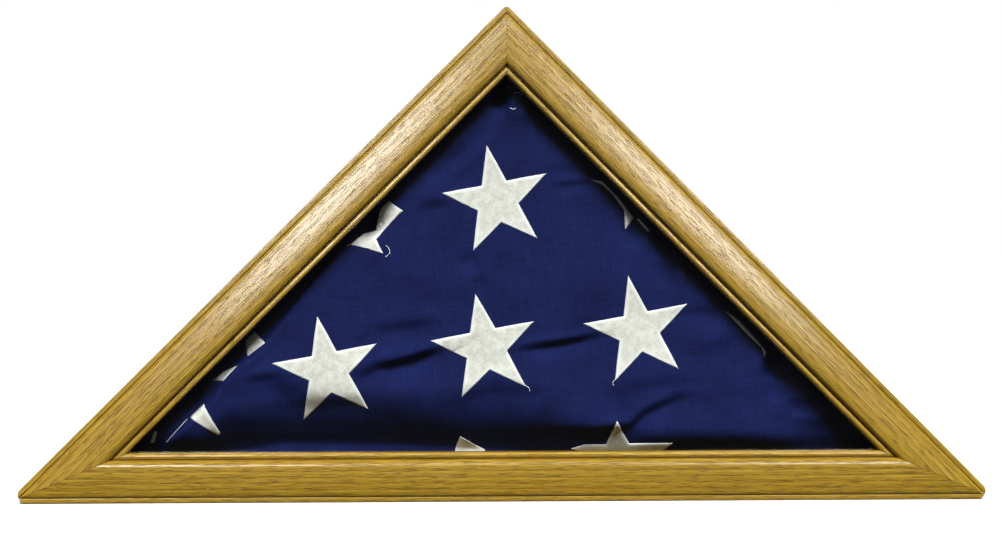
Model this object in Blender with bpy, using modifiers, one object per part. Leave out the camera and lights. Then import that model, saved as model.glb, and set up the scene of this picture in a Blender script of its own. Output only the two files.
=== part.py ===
"""Folded flag display case: a triangular oak box with a glazed, moulded front and a loose back.

Metres, +Z up, +X to the right, the glazed front faces -Y. The origin is the middle of the base,
on the surface that the case stands on, halfway through the depth.
"""

import math
from collections import namedtuple

import bmesh
import bpy
from mathutils import Matrix, Vector

MM = 0.001
GAP = 0.3 * MM  # clearance between pieces that touch

# Outline: a triangle with a right angle at the apex, standing on its long side.
HALF_BASE = 332 * MM  # middle to the sharp base corner, and sharp apex above the base
TIP_ANGLE = math.radians(45)
APEX_ANGLE = math.radians(90)
TIP_RADIUS = 5.6 * MM
APEX_RADIUS = 3 * MM
CORNER_STEPS = 6

# Front moulding: widths run inward from the outer edge, levels run back from the crest.
FACE_WIDTH = 33 * MM
MOULDING_THICKNESS = 19 * MM
STRIP_WIDTH = 3.3 * MM
STRIP_LEVEL = 2.8 * MM
QUIRK_WIDTH = 0.5 * MM
FACE_CROWN = 1 * MM
RABBET_WIDTH = 6 * MM
LIP_BACK = 12.5 * MM

# Box behind the moulding.
BOARD_THICKNESS = 19 * MM
BOX_DEPTH = 66 * MM
BACK_RABBET_WIDTH = 5.5 * MM
BACK_RABBET_DEPTH = 4.6 * MM
EDGE_EASE = 0.8 * MM

GLASS_THICKNESS = 2.4 * MM
PANEL_THICKNESS = 4 * MM
LINING_THICKNESS = 2 * MM

# Rear hardware.
BUMPER_STANDOFF = 4.8 * MM
BUTTON_THICKNESS = 1.2 * MM
BUTTON_WIDTH = 8 * MM
BUTTON_TAIL = 4 * MM
BUTTON_REACH = 22.5 * MM
EDGE_MIDDLE = 6.75 * MM  # middle of the boards' rear edge, in from the outside
SHANK_RADIUS = 1.2 * MM
HEAD_RADIUS = 3 * MM
SCREW_LENGTH = 14 * MM
STRAP_THICKNESS = 0.8 * MM
STRAP_WIDTH = 8 * MM
STRAP_LENGTH = 30 * MM
WIRE_RADIUS = 1 * MM
ROLL_INSIDE = WIRE_RADIUS + GAP

# Planes through the depth, front to back.
DEPTH = MOULDING_THICKNESS + GAP + BOX_DEPTH + BUMPER_STANDOFF
MOULDING_FRONT = -DEPTH / 2
MOULDING_BACK = MOULDING_FRONT + MOULDING_THICKNESS
BOX_FRONT = MOULDING_BACK + GAP
BOX_BACK = BOX_FRONT + BOX_DEPTH
GLASS_FRONT = MOULDING_FRONT + LIP_BACK + GAP
GLASS_BACK = GLASS_FRONT + GLASS_THICKNESS
PANEL_FRONT = BOX_BACK - BACK_RABBET_DEPTH + GAP
LINING_BACK = PANEL_FRONT - GAP
LINING_FRONT = LINING_BACK - LINING_THICKNESS

# The folded flag: a plump triangle that fills the box.
FLAG_CLEARANCE = 1 * MM
FLAG_FRONT = BOX_FRONT + 1.7 * MM
FLAG_BACK = LINING_FRONT - 1.5 * MM
FLAG_EDGE_ROUND = 16 * MM
FLAG_TIP_RADIUS = 20 * MM
FLAG_APEX_RADIUS = 24 * MM

LEG_LENGTH = HALF_BASE * math.sqrt(2)

# A side of the triangle. In its own frame X runs along it, anticlockwise seen from the front,
# Z points inward from its outer edge and Y runs back.
Side = namedtuple("Side", "middle turn length start_angle end_angle")
SIDES = {
    "base": Side((0, 0, 0), 0, 2 * HALF_BASE, TIP_ANGLE, TIP_ANGLE),
    "right": Side((HALF_BASE / 2, 0, HALF_BASE / 2), -135, LEG_LENGTH, TIP_ANGLE, APEX_ANGLE),
    "left": Side((-HALF_BASE / 2, 0, HALF_BASE / 2), 135, LEG_LENGTH, APEX_ANGLE, TIP_ANGLE),
}

# Glazing points: thin steel diamonds. Places are along each side's own X.
POINT_PLACES = {"base": (-150 * MM, 150 * MM), "right": (-90 * MM, 90 * MM), "left": (-90 * MM, 90 * MM)}
POINT_THICKNESS = 0.6 * MM
POINT_WIDTH = 9.6 * MM
POINT_NECK = 6.4 * MM
POINT_LENGTH = 10.6 * MM
POINT_IN_WOOD = 6.1 * MM

# Keys inside the box mitres, each this far in from its sharp outer corner.
KEY_PLACES = {"left_tip": 27 * MM, "right_tip": 27 * MM, "apex": 14 * MM}
KEY_SIZE = Vector((12 * MM, 40 * MM, 3 * MM))

# Name, side, place along the side, and the way along the side that its free end points at rest.
BUTTONS = [
    ("base_left", "base", -140 * MM, 1),
    ("base_right", "base", 140 * MM, -1),
    ("right_low", "right", -110 * MM, -1),
    ("right_high", "right", 70 * MM, -1),
    ("left_low", "left", 110 * MM, 1),
    ("left_high", "left", -70 * MM, 1),
]
# Name, side, place of the ring's hinge, and the way along the side that leads to the apex.
HANGERS = [("right", "right", 180 * MM, 1), ("left", "left", -180 * MM, -1)]
STRAP_HOLES = {"upper": -11 * MM, "lower": -24 * MM}
BUMPER_PLACES = {"left": -285 * MM, "right": 285 * MM}
BUMPER_RADIUS = 5 * MM


def clear_scene():
    for item in list(bpy.data.objects):
        bpy.data.objects.remove(item, do_unlink=True)


def collection(name):
    made = bpy.data.collections.new(name)
    bpy.context.scene.collection.children.link(made)
    return made


def material(name, colour, roughness, metallic=0.0):
    made = bpy.data.materials.new(name)
    made.use_nodes = True
    shader = made.node_tree.nodes["Principled BSDF"]
    shader.inputs["Base Color"].default_value = (*colour, 1)
    shader.inputs["Roughness"].default_value = roughness
    shader.inputs["Metallic"].default_value = metallic
    return made


def side_matrix(side):
    return Matrix.Translation(side.middle) @ Matrix.Rotation(math.radians(side.turn), 4, "Y")


def place_on_side(side, along, inward, depth, facing=1):
    """A frame at a point of a side, with its X along the side, or against it where facing is -1."""
    turn = Matrix.Rotation(0 if facing > 0 else math.pi, 4, "Y")
    return side_matrix(side) @ Matrix.Translation((along, depth, inward)) @ turn


def add_mesh(name, mesh, group, matrix=Matrix(), finish=None):
    """Link a mesh as an object. Meshes made by bmesh are converted first."""
    if isinstance(mesh, bmesh.types.BMesh):
        data = bpy.data.meshes.new(name)
        bmesh.ops.recalc_face_normals(mesh, faces=mesh.faces)
        mesh.to_mesh(data)
        mesh.free()
    else:
        data = mesh
    if finish and not data.materials:
        data.materials.append(finish)
    item = bpy.data.objects.new(name, data)
    item.matrix_world = matrix
    group.objects.link(item)
    return item


def add_cutter(name, mesh, matrix=Matrix()):
    item = add_mesh(name, mesh, CUTTERS, matrix)
    item.hide_render = True
    item.display_type = "WIRE"
    return item


def cut(item, cutter):
    """Take the cutter's shape out of a piece."""
    boolean = item.modifiers.new("cut " + cutter.name, "BOOLEAN")
    boolean.operation = "DIFFERENCE"
    boolean.object = cutter


def baked_mesh(item):
    """The finished mesh of a piece whose copies share it. The piece itself is removed."""
    bpy.context.view_layer.update()
    evaluated = item.evaluated_get(bpy.context.evaluated_depsgraph_get())
    data = bpy.data.meshes.new_from_object(evaluated)
    data.name = item.name
    bpy.data.objects.remove(item, do_unlink=True)
    return data


def prism(outline, front, back):
    """An outline of (x, z) points carried from one depth to another."""
    mesh = bmesh.new()
    face = mesh.faces.new([mesh.verts.new((x, front, z)) for x, z in outline])
    carried = bmesh.ops.extrude_face_region(mesh, geom=[face])
    far = [part for part in carried["geom"] if isinstance(part, bmesh.types.BMVert)]
    bmesh.ops.translate(mesh, verts=far, vec=(0, back - front, 0))
    return mesh


def block(size):
    mesh = bmesh.new()
    bmesh.ops.create_cube(mesh, size=1)
    bmesh.ops.scale(mesh, vec=size, verts=mesh.verts)
    return mesh


def rod(radius, length, steps=16):
    """A cylinder along Y, from the origin towards -Y."""
    mesh = bmesh.new()
    bmesh.ops.create_cone(mesh, cap_ends=True, segments=steps, radius1=radius, radius2=radius,
                          depth=length, matrix=Matrix.Rotation(math.pi / 2, 4, "X"))
    bmesh.ops.translate(mesh, verts=mesh.verts, vec=(0, -length / 2, 0))
    return mesh


def turned(name, profile, group, steps=16):
    """A profile of (radius, height) points, top to bottom, turned about Z."""
    data = bpy.data.meshes.new(name)
    points = [(radius, 0, height) for radius, height in profile]
    data.from_pydata(points, [(i, i + 1) for i in range(len(points) - 1)], [])
    item = add_mesh(name, data, group)
    screw = item.modifiers.new("turn", "SCREW")
    screw.axis = "Z"
    screw.steps = steps
    screw.render_steps = steps
    screw.use_merge_vertices = True
    screw.merge_threshold = 0.00001
    screw.use_smooth_shade = False
    return item


def bent(start, pull, end, steps):
    """Points along a quadratic curve that leaves start towards pull and comes to end from it."""
    points = []
    for step in range(steps + 1):
        t = step / steps
        point = [(1 - t) ** 2 * a + 2 * t * (1 - t) * b + t ** 2 * c for a, b, c in zip(start, pull, end)]
        points.append(tuple(point))
    return points


def arc(centre, radius, first, last, steps):
    """Points of an arc, with its angles in degrees."""
    angles = [math.radians(first + (last - first) * step / steps) for step in range(steps + 1)]
    return [(centre[0] + radius * math.cos(a), centre[1] + radius * math.sin(a)) for a in angles]


def rounded_corner(corner, before, after, radius, steps=CORNER_STEPS):
    """Points that round a corner between its two neighbours."""
    to_before = (Vector(before) - Vector(corner)).normalized()
    to_after = (Vector(after) - Vector(corner)).normalized()
    half_angle = to_before.angle(to_after) / 2
    middle = (to_before + to_after).normalized()
    centre = Vector(corner) + middle * (radius / math.sin(half_angle))
    start = Vector(corner) + to_before * (radius / math.tan(half_angle)) - centre
    sweep = start.angle_signed(-middle) * 2
    return [tuple(centre + Matrix.Rotation(-sweep * step / steps, 2) @ start) for step in range(steps + 1)]


def triangle_corners(inset=0.0):
    half = HALF_BASE - inset / math.tan(TIP_ANGLE / 2)
    top = HALF_BASE - inset / math.sin(APEX_ANGLE / 2)
    return {"left_tip": (-half, inset), "right_tip": (half, inset), "apex": (0, top)}


def rounded_triangle(inset, tip_radius, apex_radius, steps=CORNER_STEPS):
    corners = list(triangle_corners(inset).values())
    outline = []
    for i, radius in enumerate((tip_radius, tip_radius, apex_radius)):
        outline += rounded_corner(corners[i], corners[i - 1], corners[(i + 1) % 3], radius, steps)
    return outline


def mitred_bar(name, side, section, finish):
    """A section of (inward, depth) points carried along a side, its ends slid onto the mitres."""
    mesh = bmesh.new()
    face = mesh.faces.new([mesh.verts.new((0, depth, inward)) for inward, depth in section])
    carried = bmesh.ops.extrude_face_region(mesh, geom=[face])
    far = {part for part in carried["geom"] if isinstance(part, bmesh.types.BMVert)}
    for vert in mesh.verts:
        angle = side.end_angle if vert in far else side.start_angle
        back_from_corner = vert.co.z / math.tan(angle / 2) + GAP / 2 / math.sin(angle / 2)
        vert.co.x = (side.length / 2 - back_from_corner) * (1 if vert in far else -1)
    bar = add_mesh(name, mesh, PARTS, side_matrix(side), finish)
    for cutter in CORNER_CUTTERS:
        cut(bar, cutter)
    return bar


def moulding_section():
    """The front moulding, from the outside inward: strip, quirk, crowned face, cove, lip, rabbet."""
    face_start = STRIP_WIDTH + QUIRK_WIDTH
    face_edge = FACE_CROWN + 1.6 * MM
    roll_end = 6.5 * MM
    shoulder = 24 * MM
    groove = (28.3 * MM, 28.8 * MM)
    groove_floor = 5.6 * MM
    lip_level = 4.2 * MM
    section = [(0, MOULDING_THICKNESS), (0, STRIP_LEVEL + EDGE_EASE / 2), (EDGE_EASE / 2, STRIP_LEVEL)]
    section += [(STRIP_WIDTH, STRIP_LEVEL), (STRIP_WIDTH, STRIP_LEVEL + EDGE_EASE)]
    section += [(face_start, STRIP_LEVEL + EDGE_EASE)]
    section += bent((face_start, face_edge), (face_start + 0.3 * MM, FACE_CROWN + 0.2 * MM),
                    (roll_end, FACE_CROWN), 3)[:-1]
    section += bent((roll_end, FACE_CROWN), ((roll_end + shoulder) / 2, -FACE_CROWN),
                    (shoulder, FACE_CROWN), 6)
    section += bent((shoulder, FACE_CROWN), (28 * MM, FACE_CROWN + 0.3 * MM),
                    (groove[0], lip_level - 0.4 * MM), 5)[1:]
    section += [(groove[0], groove_floor), (groove[1], groove_floor), (groove[1], lip_level)]
    section += bent((FACE_WIDTH - 1 * MM, lip_level + 0.3 * MM), (FACE_WIDTH, lip_level + 0.4 * MM),
                    (FACE_WIDTH, lip_level + 1.4 * MM), 2)
    section += [(FACE_WIDTH, LIP_BACK), (FACE_WIDTH - RABBET_WIDTH, LIP_BACK)]
    section += [(FACE_WIDTH - RABBET_WIDTH, MOULDING_THICKNESS)]
    return [(inward, MOULDING_FRONT + level) for inward, level in section]


def board_section():
    """A box board, with the rabbet for the back panel along its inner rear edge."""
    floor = BOX_BACK - BACK_RABBET_DEPTH
    rim = BOARD_THICKNESS - BACK_RABBET_WIDTH
    return [(0, BOX_FRONT), (BOARD_THICKNESS, BOX_FRONT), (BOARD_THICKNESS, floor), (rim, floor),
            (rim, BOX_BACK), (EDGE_EASE, BOX_BACK), (0, BOX_BACK - EDGE_EASE)]


def make_corner_cutters():
    """Prisms that round the three sharp outer corners through the whole depth."""
    corners = list(triangle_corners().items())
    cutters = []
    for i, (name, corner) in enumerate(corners):
        before = corners[i - 1][1]
        after = corners[(i + 1) % 3][1]
        radius = APEX_RADIUS if name == "apex" else TIP_RADIUS
        outline = rounded_corner(corner, before, after, radius)
        outward = [Vector(corner) - Vector(point) for point in (outline[-1], outline[0])]
        beyond = Vector(corner) + outward[0] * 0.5 + outward[1] * 0.5
        outline += [tuple(Vector(outline[-1]) + outward[1] * 0.5), tuple(beyond),
                    tuple(Vector(outline[0]) + outward[0] * 0.5)]
        cutters.append(add_cutter("round_" + name, prism(outline, MOULDING_FRONT - GAP, BOX_BACK + GAP)))
    return cutters


def make_mouldings():
    for name, side in SIDES.items():
        bar = mitred_bar("moulding_" + name, side, moulding_section(), OAK)
        for number, along in enumerate(POINT_PLACES[name], 1):
            tag = f"{name}_{number}"
            matrix = place_on_side(side, along, FACE_WIDTH - RABBET_WIDTH, GLASS_BACK + 2 * GAP)
            slot_size = (POINT_WIDTH + 2 * GAP, POINT_THICKNESS + 2 * GAP, 2 * POINT_IN_WOOD + 2 * GAP)
            cut(bar, add_cutter("point_slot_" + tag, block(slot_size), matrix))
            make_glazing_point(tag, matrix)


def make_glazing_point(tag, matrix):
    """A thin steel diamond pushed into the rabbet's wall, holding the glass from behind."""
    shoulder = POINT_LENGTH * 0.43 - POINT_IN_WOOD
    outline = [(0, -POINT_IN_WOOD), (POINT_WIDTH / 2, shoulder),
               (POINT_NECK / 2, POINT_LENGTH - POINT_IN_WOOD)]
    outline += [(-x, z) for x, z in reversed(outline[1:])]
    mesh = prism(outline, -POINT_THICKNESS / 2, POINT_THICKNESS / 2)
    add_mesh("glazing_point_" + tag, mesh, PARTS, matrix, STEEL)


def make_box():
    """The three box boards, the keys inside their mitres and the holes for the rear screws."""
    boards = {}
    for name, side in SIDES.items():
        boards[name] = mitred_bar("box_" + name, side, board_section(), OAK)
    steep = math.pi / 2 - TIP_ANGLE / 2
    mitres = {"left_tip": (steep, "base", "left"), "right_tip": (-steep, "base", "right"),
              "apex": (math.pi, "left", "right")}
    for corner, point in triangle_corners().items():
        lean, *joined = mitres[corner]
        matrix = (Matrix.Translation((point[0], (BOX_FRONT + BOX_BACK) / 2, point[1]))
                  @ Matrix.Rotation(lean, 4, "Y") @ Matrix.Translation((0, 0, KEY_PLACES[corner])))
        add_mesh("mitre_key_" + corner, block(KEY_SIZE), PARTS, matrix, OAK)
        slot = add_cutter("key_slot_" + corner, block(KEY_SIZE + Vector((2, 2, 2)) * GAP), matrix)
        for name in joined:
            cut(boards[name], slot)
    for tag, side_name, along, depth in screw_places():
        hole = add_cutter("screw_hole_" + tag, rod(SHANK_RADIUS + GAP, SCREW_LENGTH),
                          place_on_side(SIDES[side_name], along, EDGE_MIDDLE, BOX_BACK + GAP))
        cut(boards[side_name], hole)


def make_glass():
    outline = rounded_triangle(FACE_WIDTH - RABBET_WIDTH + 0.5 * MM, 2 * MM, 1 * MM, 3)
    add_mesh("glass_pane", prism(outline, GLASS_FRONT, GLASS_BACK), PARTS, finish=GLASS)


def make_back():
    """The loose hardboard back in its rabbet, and the felt-covered lining board in front of it."""
    rim = BOARD_THICKNESS - BACK_RABBET_WIDTH
    outline = rounded_triangle(rim + 0.4 * MM, 3 * MM, 2 * MM, 4)
    panel = prism(outline, PANEL_FRONT, PANEL_FRONT + PANEL_THICKNESS)
    add_mesh("back_panel", panel, PARTS, finish=HARDBOARD)
    outline = rounded_triangle(BOARD_THICKNESS + 0.5 * MM, 3 * MM, 2 * MM, 4)
    lining = prism(outline, LINING_FRONT, LINING_BACK)
    add_mesh("lining_board", lining, PARTS, finish=FELT)


def screw_places():
    """Name, side, place along the side and underside of the head, for every rear screw."""
    places = []
    for name, side_name, along, _ in BUTTONS:
        places.append(("button_screw_" + name, side_name, along, BOX_BACK + BUTTON_THICKNESS + 2 * GAP))
    for name, side_name, along, to_apex in HANGERS:
        for hole, offset in STRAP_HOLES.items():
            head = BOX_BACK + STRAP_THICKNESS + 2 * GAP
            places.append((f"hanger_screw_{name}_{hole}", side_name, along + offset * to_apex, head))
    return places


def make_screws():
    """Pan-head screws with a cross recess, all sharing one mesh."""
    head_height = 1.8 * MM
    dome = bent((0, head_height), (HEAD_RADIUS * 0.9, head_height), (HEAD_RADIUS, 0.6 * MM), 3)
    profile = dome + [(HEAD_RADIUS, 0), (SHANK_RADIUS, 0), (SHANK_RADIUS, 3 * MM - SCREW_LENGTH)]
    profile += [(0, -SCREW_LENGTH + GAP)]
    master = turned("pan_head_screw", profile, PARTS)
    recess = Vector((3.2 * MM, 0.7 * MM, 1.6 * MM))
    for number, size in enumerate((recess, Vector((recess.y, recess.x, recess.z + GAP)))):
        raised = Matrix.Translation((0, 0, head_height))
        cut(master, add_cutter(f"cross_recess_{number}", block(size), raised))
    data = baked_mesh(master)
    outward = Matrix.Rotation(-math.pi / 2, 4, "X")
    for name, side_name, along, head in screw_places():
        matrix = place_on_side(SIDES[side_name], along, EDGE_MIDDLE, head) @ outward
        add_mesh(name, data, PARTS, matrix, STEEL)


def make_turn_buttons():
    """Flat swivel plates that hold the back, each turning about its screw. They rest turned open."""
    half = BUTTON_WIDTH / 2
    outline = arc((BUTTON_REACH - half, 0), half, -90, 90, 6)
    outline += arc((half - BUTTON_TAIL, 0), half, 90, 270, 6)
    master = add_mesh("turn_button", prism(outline, 0, BUTTON_THICKNESS), PARTS, finish=STEEL)
    pivot_hole = rod(SHANK_RADIUS + 2 * GAP, 3 * BUTTON_THICKNESS)
    hole = add_cutter("button_pivot_hole", pivot_hole, Matrix.Translation((0, 2 * BUTTON_THICKNESS, 0)))
    cut(master, hole)
    data = baked_mesh(master)
    for name, side_name, along, facing in BUTTONS:
        matrix = place_on_side(SIDES[side_name], along, EDGE_MIDDLE, BOX_BACK + GAP, facing)
        add_mesh("turn_button_" + name, data, PARTS, matrix, STEEL)


def strap_outline():
    """A strap of sheet seen from its edge: flat under its screws, then rolled round the ring's bar."""
    outside = ROLL_INSIDE + STRAP_THICKNESS
    outer = arc((0, 0), outside, -90, 195, 12)
    inner = arc((0, 0), ROLL_INSIDE, 195, -90, 12)
    return [(-STRAP_LENGTH, -outside)] + outer + inner + [(-STRAP_LENGTH, -ROLL_INSIDE)]


def make_hangers():
    """Two strap hangers. The origin of each piece lies on its ring's hinge axis."""
    edge_on = Matrix.Rotation(math.pi / 2, 4, "X")
    strap_mesh = prism(strap_outline(), -STRAP_WIDTH / 2, STRAP_WIDTH / 2)
    bmesh.ops.transform(strap_mesh, matrix=edge_on.inverted(), verts=strap_mesh.verts)
    master = add_mesh("strap", strap_mesh, PARTS, finish=STEEL)
    for hole, offset in STRAP_HOLES.items():
        cutter = add_cutter("strap_hole_" + hole, rod(SHANK_RADIUS + 2 * GAP, 3 * MM),
                            Matrix.Translation((offset, 0, 0)))
        cut(master, cutter)
    data = baked_mesh(master)
    axis_depth = BOX_BACK + GAP + STRAP_THICKNESS + ROLL_INSIDE
    for name, side_name, along, to_apex in HANGERS:
        matrix = place_on_side(SIDES[side_name], along, EDGE_MIDDLE, axis_depth, to_apex)
        add_mesh("hanger_strap_" + name, data, PARTS, matrix, STEEL)
        make_ring("hanger_ring_" + name, matrix)


def make_ring(name, matrix):
    """A D of round wire: a straight bar on the hinge axis, two short arms and a round end."""
    half_bar = 5.5 * MM
    arm = 6 * MM
    route = [(0, -half_bar / 2), (0, half_bar / 2)]
    route += arc((half_bar / 4, half_bar * 3 / 4), half_bar / 4, 180, 90, 3)
    route += arc((arm, 0), half_bar, 90, -90, 12)
    route += arc((half_bar / 4, -half_bar * 3 / 4), half_bar / 4, -90, -180, 3)
    curve = bpy.data.curves.new(name, "CURVE")
    curve.dimensions = "3D"
    curve.bevel_depth = WIRE_RADIUS
    curve.bevel_resolution = 2
    spline = curve.splines.new("POLY")
    spline.points.add(len(route) - 1)
    for point, (along, across) in zip(spline.points, route):
        point.co = (along, 0, across, 1)
    spline.use_cyclic_u = True
    curve.materials.append(STEEL)
    item = bpy.data.objects.new(name, curve)
    item.matrix_world = matrix
    PARTS.objects.link(item)


def make_bumpers():
    """Rubber discs at the rear lower corners that keep the case upright against a wall."""
    height = BUMPER_STANDOFF - GAP
    profile = [(0, height), (BUMPER_RADIUS - 1 * MM, height), (BUMPER_RADIUS, height - 1.2 * MM),
               (BUMPER_RADIUS, 0), (0, 0)]
    data = baked_mesh(turned("bumper", profile, PARTS, 20))
    outward = Matrix.Rotation(-math.pi / 2, 4, "X")
    for name, along in BUMPER_PLACES.items():
        matrix = place_on_side(SIDES["base"], along, EDGE_MIDDLE, BOX_BACK + GAP) @ outward
        add_mesh("wall_bumper_" + name, data, PARTS, matrix, RUBBER)


def make_flag():
    outline = rounded_triangle(BOARD_THICKNESS + FLAG_CLEARANCE, FLAG_TIP_RADIUS, FLAG_APEX_RADIUS)
    mesh = prism(outline, FLAG_FRONT, FLAG_BACK)
    rims = [edge for edge in mesh.edges if abs(edge.verts[0].co.y - edge.verts[1].co.y) < GAP]
    bmesh.ops.bevel(mesh, geom=rims, offset=FLAG_EDGE_ROUND, offset_type="OFFSET", segments=4,
                    profile=0.5, affect="EDGES", clamp_overlap=True, material=-1)
    add_mesh("folded_flag", mesh, PARTS, finish=FLAG_CLOTH)


clear_scene()
PARTS = collection("folded flag display case")
CUTTERS = collection("cutters")

OAK = material("oak", (0.45, 0.27, 0.09), 0.35)
GLASS = material("glass", (0.85, 0.9, 0.88), 0.03)
HARDBOARD = material("hardboard", (0.2, 0.11, 0.05), 0.7)
FELT = material("black felt", (0.01, 0.01, 0.012), 0.95)
STEEL = material("nickel-plated steel", (0.6, 0.58, 0.54), 0.3, 1.0)
RUBBER = material("rubber", (0.03, 0.03, 0.03), 0.8)
FLAG_CLOTH = material("navy cotton", (0.015, 0.022, 0.09), 0.85)

CORNER_CUTTERS = make_corner_cutters()
make_mouldings()
make_box()
make_glass()
make_back()
make_screws()
make_turn_buttons()
make_hangers()
make_bumpers()
make_flag()
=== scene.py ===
"""The looks of a folded flag display case: lacquered oak, glass, embroidered cotton and rear hardware.

Metres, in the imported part's frame: +Z up, +X to the right, and the glazed front faces -Y.
"""

import math
import random
from collections import namedtuple

import bmesh
import bpy
import numpy as np
from mathutils import Matrix, Vector, noise
from mathutils.bvhtree import BVHTree


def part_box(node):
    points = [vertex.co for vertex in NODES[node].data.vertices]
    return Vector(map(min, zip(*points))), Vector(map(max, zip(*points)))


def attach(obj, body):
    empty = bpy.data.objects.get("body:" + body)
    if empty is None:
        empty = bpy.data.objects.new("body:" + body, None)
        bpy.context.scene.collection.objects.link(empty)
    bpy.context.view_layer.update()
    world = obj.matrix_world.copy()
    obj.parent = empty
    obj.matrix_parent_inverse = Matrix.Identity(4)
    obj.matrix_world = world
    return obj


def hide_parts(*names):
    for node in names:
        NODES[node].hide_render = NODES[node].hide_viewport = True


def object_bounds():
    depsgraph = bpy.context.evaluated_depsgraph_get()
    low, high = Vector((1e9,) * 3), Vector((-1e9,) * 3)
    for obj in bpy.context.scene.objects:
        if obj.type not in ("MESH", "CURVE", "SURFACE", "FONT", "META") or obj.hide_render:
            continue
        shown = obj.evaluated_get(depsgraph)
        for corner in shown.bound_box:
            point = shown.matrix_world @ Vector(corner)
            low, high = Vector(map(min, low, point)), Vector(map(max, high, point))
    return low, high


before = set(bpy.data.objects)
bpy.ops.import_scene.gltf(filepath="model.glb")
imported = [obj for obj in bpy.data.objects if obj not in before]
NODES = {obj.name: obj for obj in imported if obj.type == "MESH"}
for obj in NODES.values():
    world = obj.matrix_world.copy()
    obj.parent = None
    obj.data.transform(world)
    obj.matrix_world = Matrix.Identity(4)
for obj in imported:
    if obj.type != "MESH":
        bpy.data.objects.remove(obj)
CAD_BOX = [list(corner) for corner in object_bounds()]

MM = 0.001

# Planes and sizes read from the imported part.
MOULDING_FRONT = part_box("moulding_base")[0].y
BOX_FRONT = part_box("box_base")[0].y
BOX_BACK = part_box("box_base")[1].y
GLASS_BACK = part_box("glass_pane")[1].y
TIP_RADIUS = 5.6 * MM
APEX_RADIUS = 3 * MM
HALF_BASE = CAD_BOX[1][2] + APEX_RADIUS * (math.sqrt(2) - 1)  # the apex is rounded by that much
LEG_LENGTH = HALF_BASE * math.sqrt(2)
TIP_ANGLE = math.radians(45)
APEX_ANGLE = math.radians(90)
BOARD_THICKNESS = 19 * MM
BACK_RABBET_WIDTH = 5.5 * MM
BACK_RABBET_DEPTH = 4.6 * MM
MITRE_GAP = 0.16 * MM
CORNER_STEPS = 8
WELD = 0.005 * MM  # vertices nearer than this are one

# A side of the triangle. In its own frame X runs along it, anticlockwise seen from the front,
# Z points inward from its outer edge and Y runs back.
Side = namedtuple("Side", "middle turn length start_angle end_angle")
SIDES = {
    "base": Side((0, 0, 0), 0, 2 * HALF_BASE, TIP_ANGLE, TIP_ANGLE),
    "right": Side((HALF_BASE / 2, 0, HALF_BASE / 2), -135, LEG_LENGTH, TIP_ANGLE, APEX_ANGLE),
    "left": Side((-HALF_BASE / 2, 0, HALF_BASE / 2), 135, LEG_LENGTH, APEX_ANGLE, TIP_ANGLE),
}

# Name, side, place along the side, and the way along the side that the free end points.
BUTTONS = [
    ("base_left", "base", -140 * MM, 1),
    ("base_right", "base", 140 * MM, -1),
    ("right_low", "right", -110 * MM, -1),
    ("right_high", "right", 70 * MM, -1),
    ("left_low", "left", 110 * MM, 1),
    ("left_high", "left", -70 * MM, 1),
]
HANGERS = [("right", "right", 180 * MM, 1), ("left", "left", -180 * MM, -1)]
STRAP_HOLES = {"upper": -11 * MM, "lower": -24 * MM}
BUMPER_PLACES = {"left": -285 * MM, "right": 285 * MM}
EDGE_MIDDLE = 6.75 * MM  # middle of the boards' rear edge, in from the outside
CLEAR = 0.3 * MM
BUTTON_THICKNESS = 1.2 * MM
BUTTON_WIDTH = 8 * MM
BUTTON_REACH = 22.5 * MM
STRAP_THICKNESS = 0.8 * MM
STRAP_WIDTH = 8 * MM
STRAP_LENGTH = 30 * MM
STRAP_ROLL = 285  # degrees that the strap's end is rolled round the ring's bar
WIRE_RADIUS = 1 * MM
SHANK_RADIUS = 1.2 * MM
SCREW_TURN = 37  # degrees from one screw's slots to the next one's


# ---------------------------------------------------------------- mesh helpers


def side_matrix(side):
    """A side's own frame in the part's."""
    return Matrix.Translation(side.middle) @ Matrix.Rotation(math.radians(side.turn), 4, "Y")


def place_on_side(side, along, inward, depth, facing=1):
    """A frame at a point of a side, with its X along the side, or against it where facing is -1."""
    turn = Matrix.Rotation(0 if facing > 0 else math.pi, 4, "Y")
    return side_matrix(side) @ Matrix.Translation((along, depth, inward)) @ turn


def written(mesh, name):
    """A bmesh written out as mesh data, and freed."""
    data = bpy.data.meshes.new(name)
    mesh.to_mesh(data)
    mesh.free()
    return data


def in_scene(name, data):
    """A new object in the scene, for a mesh, curve, light or camera."""
    item = bpy.data.objects.new(name, data)
    bpy.context.scene.collection.objects.link(item)
    return item


def add_piece(name, mesh, finish, body, stands_for, sharp=32, even=True):
    """Turn a bmesh into a finished piece: smooth shaded, riding a body, standing for CAD nodes."""
    bmesh.ops.recalc_face_normals(mesh, faces=mesh.faces)
    data = written(mesh, name)
    data.shade_smooth()
    data.set_sharp_from_angle(angle=math.radians(sharp))
    data.materials.append(finish)
    item = in_scene(name, data)
    if even:
        shading = item.modifiers.new("even shading", "WEIGHTED_NORMAL")
        shading.keep_sharp = True
    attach(item, body)
    if stands_for:
        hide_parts(*stands_for)
    return item


def evaluated_mesh(item):
    """The mesh of an object with its modifiers applied."""
    bpy.context.view_layer.update()
    graph = bpy.context.evaluated_depsgraph_get()
    return bpy.data.meshes.new_from_object(item.evaluated_get(graph), depsgraph=graph)


def wire_curve(radius, rounding, spline_kind):
    """A curve bevelled into round wire, and its one empty spline."""
    curve = bpy.data.curves.new("wire", "CURVE")
    curve.dimensions = "3D"
    curve.bevel_depth = radius
    curve.bevel_resolution = rounding
    return curve, curve.splines.new(spline_kind)


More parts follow.
